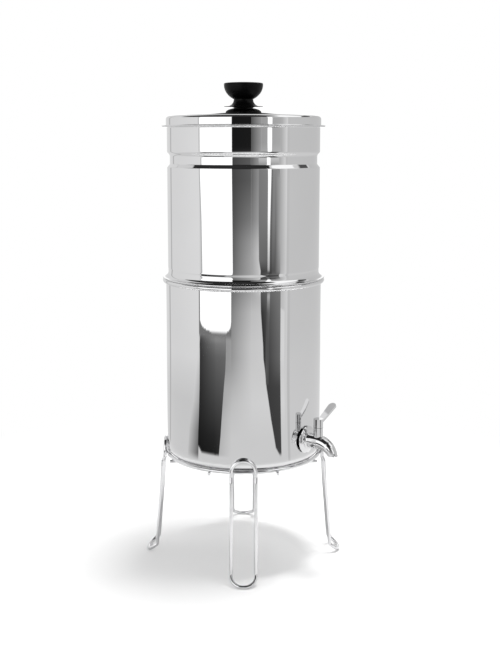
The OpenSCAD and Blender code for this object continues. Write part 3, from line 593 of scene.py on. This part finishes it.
def cast_steel(name, tint, gloss_low, gloss_high, orange_peel):
    """Steel that was cast and then buffed by hand: a soft orange peel under the shine."""
    material, tree, shader = start_material(name, Metallic=1.0, Roughness=gloss_low)
    where = place(tree)
    wear = noise(tree, where, 120.0, 3.0)
    tree.links.new(between(tree, wear, gloss_low, gloss_high), shader.inputs["Roughness"])
    tree.links.new(shade_between(tree, wear, [c * 0.96 for c in tint], tint), shader.inputs["Base Color"])
    peel = bump(tree, shader, noise(tree, where, 260.0, 1.0), orange_peel)
    bump(tree, shader, noise(tree, where, 2400.0, 2.0), orange_peel * 0.12, under=peel)
    return material


STEEL_TINT = (0.74, 0.74, 0.745)
WIRE_TINT = (0.80, 0.80, 0.81)
TAP_TINT = (0.72, 0.72, 0.725)
SCREW_TINT = (0.55, 0.55, 0.56)
MIRROR_STEEL = polished_steel("mirror_steel", STEEL_TINT, gloss_low=0.012, gloss_high=0.035,
                              ripple=0.00005, line_depth=0.0000002)
PLATED_WIRE = cast_steel("plated_wire", WIRE_TINT, gloss_low=0.06, gloss_high=0.14, orange_peel=0.000012)
TAP_STEEL = cast_steel("tap_steel", TAP_TINT, gloss_low=0.03, gloss_high=0.09, orange_peel=0.000008)
SCREW_STEEL = cast_steel("screw_steel", SCREW_TINT, gloss_low=0.22, gloss_high=0.36, orange_peel=0.00002)
print("steels:", [m.name for m in (MIRROR_STEEL, PLATED_WIRE, TAP_STEEL, SCREW_STEEL)])

# %% [markdown]
# ## Plastics, rubber, ceramic and carbon
# The moulded parts share one recipe: a base colour with a faint mottle, a roughness that
# wanders, and a fine spark-eroded grain. The candle is fired ceramic, chalky and matt, and
# its carbon core is pressed granules.

# %% Soft and moulded materials
def moulded(name, colour, gloss_low, gloss_high, grain_scale, grain_depth, mottle=0.06, shine=0.5):
    """Moulded plastic or rubber with a fine grain."""
    material, tree, shader = start_material(name, Roughness=gloss_low, Specular_IOR_Level=shine)
    where = place(tree)
    cloud = noise(tree, where, 60.0, 3.0)
    dark = [c * (1.0 - mottle) for c in colour]
    tree.links.new(shade_between(tree, cloud, dark, colour), shader.inputs["Base Color"])
    tree.links.new(between(tree, cloud, gloss_low, gloss_high), shader.inputs["Roughness"])
    bump(tree, shader, noise(tree, where, grain_scale, 2.0), grain_depth)
    return material


def granular(name, dark, light, scale, depth):
    """Pressed or fired granules: cells of slightly different colour with pits between."""
    material, tree, shader = start_material(name, Roughness=0.85)
    where = place(tree)
    cells = add_node(tree, "ShaderNodeTexVoronoi", {"Vector": where, "Scale": scale})
    grey = noise(tree, where, scale * 0.4, 3.0)
    tree.links.new(shade_between(tree, grey, dark, light), shader.inputs["Base Color"])
    tree.links.new(between(tree, grey, 0.75, 0.95), shader.inputs["Roughness"])
    bump(tree, shader, cells.outputs["Distance"], depth)
    return material


FINISHES = {
    "mirror_steel": MIRROR_STEEL,
    "plated_wire": PLATED_WIRE,
    "tap_steel": TAP_STEEL,
    "screw_steel": SCREW_STEEL,
    "seal_rubber": moulded("seal_rubber", (0.045, 0.045, 0.047), 0.55, 0.75, 1500.0, 0.00003),
    "seat_plastic": moulded("seat_plastic", (0.80, 0.80, 0.78), 0.40, 0.55, 900.0, 0.00001),
    "white_plastic": moulded("white_plastic", (0.78, 0.78, 0.76), 0.32, 0.45, 1100.0, 0.000012, mottle=0.03),
    "candle_ceramic": granular("candle_ceramic", (0.74, 0.71, 0.64), (0.83, 0.81, 0.75), 1600.0, 0.00005),
    "carbon_block": granular("carbon_block", (0.012, 0.012, 0.012), (0.045, 0.045, 0.045), 700.0, 0.0002),
    "black_plastic": moulded("black_plastic", (0.003, 0.003, 0.0031), 0.34, 0.48, 1300.0, 0.000014,
                             mottle=0.25, shine=0.12),
}
print("finishes:", len(FINISHES))

# %% [markdown]
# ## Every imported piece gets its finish
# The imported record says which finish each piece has, so one loop dresses them all. The
# three turned sheets and the knob are replaced by smoother meshes further down.

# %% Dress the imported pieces
slot_of = {s["node"]: s["material_slot"] for s in frame["record"]["subparts"]}
for name, piece in frame["nodes"].items():
    piece.data.materials.clear()
    piece.data.materials.append(FINISHES[slot_of[name]])
print("dressed", len(frame["nodes"]), "pieces")

# %% [markdown]
# ## Turned pieces
# The chambers, the lid and the knob are turned shapes: one outline swept round the axis.
# A mirror shows every flat spot, so the outline's curves have many short steps, the sweep
# has hundreds, and only true corners stay sharp. The holes for the tap, the stems and the
# knob's screw are left out here, under the washers and nuts that cover them.

# %% Outline helpers and the lathe
TURNS = 288
SHARP = math.radians(50)
ON_AXIS = 1e-6


def arc(centre, radius, start, stop, steps=16):
    """Points on an arc in the outline's plane, angles in degrees."""
    angles = [math.radians(start + (stop - start) * i / steps) for i in range(steps + 1)]
    return [(centre[0] + radius * math.cos(a), centre[1] + radius * math.sin(a)) for a in angles]


def ease(r0, z0, r1, z1, steps=24, soft=0.5):
    """A step between two radii: straight in the middle, bent over the soft share at each end."""
    line = []
    for t in [i / steps for i in range(steps + 1)]:
        if t < soft:
            rise = t * t / (2 * soft * (1 - soft))
        elif t > 1 - soft:
            rise = 1 - (1 - t) ** 2 / (2 * soft * (1 - soft))
        else:
            rise = (t - soft / 2) / (1 - soft)
        line.append((r0 + (r1 - r0) * rise, z0 + (z1 - z0) * t))
    return line


def level_line(r0, r1, z, steps=6):
    """A flat stretch with a few points along it."""
    return [(r0 + (r1 - r0) * i / steps, z) for i in range(steps + 1)]


def lathe(name, outline, body, node, turns=TURNS):
    """Sweeps a closed outline in millimetres round the axis, and lets it stand for a node."""
    points, rings = [], []
    for r, z in outline:
        rings.append((len(points), r > ON_AXIS))
        for i in range(turns if r > ON_AXIS else 1):
            a = 2 * math.pi * i / turns
            points.append((r * MM * math.cos(a), r * MM * math.sin(a), z * MM))
    faces = []
    for (a, ring_a), (b, ring_b) in zip(rings, rings[1:] + rings[:1]):
        for i in range(turns if ring_a or ring_b else 0):
            j = (i + 1) % turns
            corners = [a + (i if ring_a else 0), a + (j if ring_a else 0)]
            corners += [b + (j if ring_b else 0), b + (i if ring_b else 0)]
            faces.append(list(dict.fromkeys(corners)))
    made = make_mesh(name, points, faces)
    made.data.set_sharp_from_angle(angle=SHARP)
    made.data.materials.append(FINISHES[slot_of[node]])
    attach(made, body)
    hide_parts(node)
    return made


# %% Sizes of the sheet-steel pieces, in millimetres
def box_mm(node):
    """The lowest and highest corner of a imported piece, in millimetres."""
    low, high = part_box(node)
    return low / MM, high / MM


WALL = 0.8
lower_low, lower_high = box_mm("lower_shell")
upper_low, upper_high = box_mm("upper_shell")
lid_low, lid_high = box_mm("lid_shell")
BEAD_R, BEAD_SHIFT = 3.5, 1.0
LOWER_R = lower_high.x - BEAD_R - BEAD_SHIFT
LOWER_IN = LOWER_R - WALL
NEST_GAP = 2.1
UPPER_R = LOWER_IN - NEST_GAP
UPPER_IN = UPPER_R - WALL
FLAT_FROM, FLAT_SHORT = 20.0, 1.0
print("lower radius", round(LOWER_R, 2), "upper radius", round(UPPER_R, 2))

# %% [markdown]
# ### Lower chamber
# A deep-drawn pot: flat base, round corner, straight wall, and a rim rolled outward into
# a bead that is almost closed. The outline goes up the outside, round the bead, and back
# down the inside.

# %% Lower chamber
LOWER_CORNER = 12.0
CURL_GAP = 0.3
ABOVE_CORNER, BELOW_BEAD = 2.0, 8.0
bead_c = (LOWER_R + BEAD_SHIFT, lower_high.z - BEAD_R)
curl_r = BEAD_R - WALL


def reach_angle(r, radius):
    """The angle on the bead's circle at which it reaches a radius from the axis."""
    return math.degrees(math.acos((r - bead_c[0]) / radius))


corner_c = (LOWER_R - LOWER_CORNER, lower_low.z + LOWER_CORNER)
flat_to = corner_c[0] - FLAT_SHORT
wall_z = np.linspace(corner_c[1] + ABOVE_CORNER, bead_c[1] - BELOW_BEAD, 8)
curl_start = reach_angle(LOWER_R, curl_r)
curl_end = -reach_angle(LOWER_R + CURL_GAP, curl_r)
bead_start = -reach_angle(LOWER_R + CURL_GAP, BEAD_R)
bead_end = reach_angle(LOWER_IN, BEAD_R)
lower_outline = [(0.0, lower_low.z)] + level_line(FLAT_FROM, flat_to, lower_low.z)
lower_outline += arc(corner_c, LOWER_CORNER, -90, 0, 24)
lower_outline += [(LOWER_R, z) for z in wall_z]
lower_outline += arc(bead_c, curl_r, curl_start, curl_end, 24)
lower_outline += arc(bead_c, BEAD_R, bead_start, bead_end, 48)
lower_outline += [(LOWER_IN, z) for z in reversed(wall_z)]
lower_outline += arc(corner_c, LOWER_CORNER - WALL, 0, -90, 24)
lower_outline += level_line(flat_to, FLAT_FROM, lower_low.z + WALL) + [(0.0, lower_low.z + WALL)]
lower_chamber = lathe("lower_chamber_sheet", lower_outline, "lower_chamber", "lower_shell")
print("lower chamber:", len(lower_chamber.data.polygons), "faces")

# %% [markdown]
# ### Upper chamber
# The same sheet, with more going on: a nested base, a ledge that sits on the lower bead,
# a hollow cove above it, a rolled groove near the top that stiffens the wall, and a flat
# rim turned outward. The groove's shoulders are smooth steps, because that is how a
# roller leaves them.

# %% Upper chamber
UPPER_CORNER = 8.0
NEST_DEPTH = lower_high.z - upper_low.z
BEAD_OUT = lower_high.x
LEDGE_LOW_R, LEDGE_TOP_R, NEST_LEAD = 0.5, 0.4, 4.0
COVE_LIP, COVE_OPENS, COVE_BACK, ABOVE_COVE = 0.5, 262, 240, 12.0
COVE_R = BEAD_OUT - UPPER_R - COVE_LIP
GROOVE_DROP, GROOVE_TOP, GROOVE_BAND, GROOVE_LOW, GROOVE_DEPTH = 32.9, 7.4, 9.4, 5.0, 3.7
RIM_OUT, RIM_BEND = 6.4, 1.5
NECK_IN, NECK_LOW, NECK_HIGH = 0.33, 2.2, 6.8
BY_BEND = 0.3
base, ledge, top = upper_low.z, upper_low.z + NEST_DEPTH, upper_high.z
cove_z = ledge + COVE_R + 2 * WALL
groove = [top - GROOVE_DROP]
for step in (GROOVE_TOP, GROOVE_BAND, GROOVE_LOW):
    groove.append(groove[-1] - step)
corner_c = (UPPER_R - UPPER_CORNER, base + UPPER_CORNER)
flat_to = corner_c[0] - FLAT_SHORT
groove_r = UPPER_R - GROOVE_DEPTH
neck_r = UPPER_R - NECK_IN
bend_c = (UPPER_R + RIM_BEND, top - WALL - RIM_BEND)
upper_outline = [(0.0, base)] + level_line(FLAT_FROM, flat_to, base)
upper_outline += arc(corner_c, UPPER_CORNER, -90, 0)
upper_outline += [(UPPER_R, ledge), (BEAD_OUT - LEDGE_TOP_R, ledge)]
upper_outline += arc((BEAD_OUT - LEDGE_LOW_R, ledge + LEDGE_LOW_R), LEDGE_LOW_R, -90, 0, 6)
upper_outline += arc((BEAD_OUT - LEDGE_TOP_R, ledge + 2 * WALL - LEDGE_TOP_R), LEDGE_TOP_R, 0, 90, 6)
upper_outline += arc((neck_r + COVE_R, cove_z), COVE_R, COVE_OPENS, 180, 24)
upper_outline += ease(neck_r, cove_z + NECK_LOW, UPPER_R, cove_z + NECK_HIGH, 16)
upper_outline += [(UPPER_R, z) for z in np.linspace(cove_z + ABOVE_COVE, groove[3] - BY_BEND, 6)]
upper_outline += ease(UPPER_R, groove[3], groove_r, groove[2], soft=0.1)
upper_outline += [(groove_r, groove[2] + BY_BEND), (groove_r, groove[1] - BY_BEND)]
upper_outline += ease(groove_r, groove[1], UPPER_R, groove[0])
upper_outline += [(UPPER_R, z) for z in np.linspace(groove[0] + BY_BEND, bend_c[1] - BY_BEND, 4)]
upper_outline += arc(bend_c, RIM_BEND, 180, 90, 8)
upper_outline += arc((UPPER_R + RIM_OUT - WALL / 2, top - WALL / 2), WALL / 2, -90, 90, 10)
upper_outline += arc(bend_c, RIM_BEND + WALL, 90, 180, 10)
upper_outline += ease(UPPER_IN, groove[0], groove_r - WALL, groove[1])
upper_outline += ease(groove_r - WALL, groove[2], UPPER_IN, groove[3])
upper_outline += arc((UPPER_R + COVE_R, cove_z), COVE_R + WALL, 180, COVE_BACK, 16)
upper_outline += [(UPPER_IN, ledge + WALL), (UPPER_IN, ledge - NEST_LEAD)]
upper_outline += arc(corner_c, UPPER_CORNER - WALL, 0, -90)
upper_outline += level_line(flat_to, FLAT_FROM, base + WALL) + [(0.0, base + WALL)]
upper_chamber = lathe("upper_chamber_sheet", upper_outline, "upper_chamber", "upper_shell")
print("upper chamber:", len(upper_chamber.data.polygons), "faces")

# %% [markdown]
# ### Lid
# A shallow pressed dome with a small shoulder, an upright skirt, a brim folded back on
# itself, and a collar that locates it in the chamber's mouth.

# %% Lid
BRIM_T, SKIRT_H, SKIRT_STEP, SHOULDER_R, DOME_SLOPE = 1.6, 8.2, 1.2, 4.6, 14.3
COLLAR_GAP, COLLAR_SHORT, SKIRT_FILLET = 0.6, 0.4, 0.4
rim_z = upper_high.z
brim_r = lid_high.x
skirt_r = UPPER_R + SKIRT_STEP
collar_r = UPPER_IN - COLLAR_GAP
shoulder_z = rim_z + BRIM_T + SKIRT_H
slope = math.radians(DOME_SLOPE)
dome_r = (skirt_r - SHOULDER_R + SHOULDER_R * math.sin(slope)) / math.sin(slope)
dome_z = shoulder_z + (SHOULDER_R - dome_r) * math.cos(slope)
FOOT_R, SEAT_RIM, SEAT_SHIFT = 26.5, 0.7, 1.5
seat_r = FOOT_R + SEAT_RIM
shoulder_c = (skirt_r - SHOULDER_R, shoulder_z)


def dome_line(radius, edge_r, outward=False, steps=60):
    """The dome from its shoulder in to the knob's seat, or back out."""
    inner = math.asin(edge_r / radius)
    angles = [slope + (inner - slope) * i / steps for i in range(steps + 1)]
    line = [(radius * math.sin(a), dome_z + radius * math.cos(a)) for a in angles]
    return line[::-1] if outward else line


seat_z = dome_z + math.sqrt(dome_r ** 2 - seat_r ** 2)
lid_outline = [(collar_r, lid_low.z), (collar_r, rim_z - COLLAR_SHORT)]
lid_outline += arc((brim_r - BRIM_T / 2, rim_z + BRIM_T / 2), BRIM_T / 2, -90, 90, 16)
lid_outline += arc((skirt_r + SKIRT_FILLET, rim_z + BRIM_T + SKIRT_FILLET), SKIRT_FILLET, 270, 180, 10)
lid_outline += arc(shoulder_c, SHOULDER_R, 0, 90 - DOME_SLOPE, 24)
lid_outline += dome_line(dome_r, seat_r)[1:] + [(0.0, seat_z), (0.0, seat_z - WALL)]
lid_outline += dome_line(dome_r - WALL, seat_r - SEAT_SHIFT, outward=True)
lid_outline += arc(shoulder_c, SHOULDER_R - WALL, 90 - DOME_SLOPE, 0, 16)[1:]
lid_outline += [(skirt_r - WALL, rim_z + WALL), (collar_r - WALL, rim_z + WALL)]
lid_outline += [(collar_r - WALL, lid_low.z)]
lid = lathe("lid_sheet", lid_outline, "lid", "lid_shell")
print("lid:", len(lid.data.polygons), "faces, knob seat at", round(seat_z, 2))

# %% [markdown]
# ### Knob
# A moulded goblet: a foot that flares onto the lid in a thin lip, a waist for the
# fingertips, and a wide bowl with a low crown.

# %% Knob
knob_low, knob_high = box_mm("lid_knob")
KNOB_R, BOWL_H, WAIST_R, WAIST_H, FOOT_T = knob_high.x, 19.2, 13.2, 10.8, 1.0
KNOB_EDGE, KNOB_CROWN, EDGE_SWEEP, CROWN_START = 1.5, 1.0, 78, 0.95
FOOT_BEVEL, LIP_BEVEL, BOWL_STEPS = 0.4, 0.2, 32
waist_bend = WAIST_H - FOOT_T
waist_c = (WAIST_R + waist_bend, knob_low.z + WAIST_H)
widest_z = knob_low.z + WAIST_H + BOWL_H
bowl_depth = BOWL_H / math.sqrt(1 - (WAIST_R / KNOB_R) ** 2)
knob_outline = [(0.0, knob_low.z), (FOOT_R - FOOT_BEVEL, knob_low.z)]
knob_outline += [(FOOT_R, knob_low.z + FOOT_BEVEL), (FOOT_R, knob_low.z + FOOT_T - LIP_BEVEL)]
knob_outline += arc(waist_c, waist_bend, 270, 180, 24)
for i in range(1, BOWL_STEPS + 1):
    drop = -BOWL_H * math.cos(math.pi / 2 * i / BOWL_STEPS)
    knob_outline.append((KNOB_R * math.sqrt(1 - (drop / bowl_depth) ** 2), widest_z + drop))
knob_outline += arc((KNOB_R - KNOB_EDGE, knob_high.z - KNOB_CROWN - KNOB_EDGE), KNOB_EDGE, 0, EDGE_SWEEP, 10)
for t in np.linspace(0.0, 1.0, 10):
    knob_outline.append((KNOB_R * (1 - t) * CROWN_START, knob_high.z - KNOB_CROWN * (1 - t) ** 2))
knob = lathe("knob_moulding", knob_outline, "lid", "lid_knob", turns=128)
print("knob:", len(knob.data.polygons), "faces")
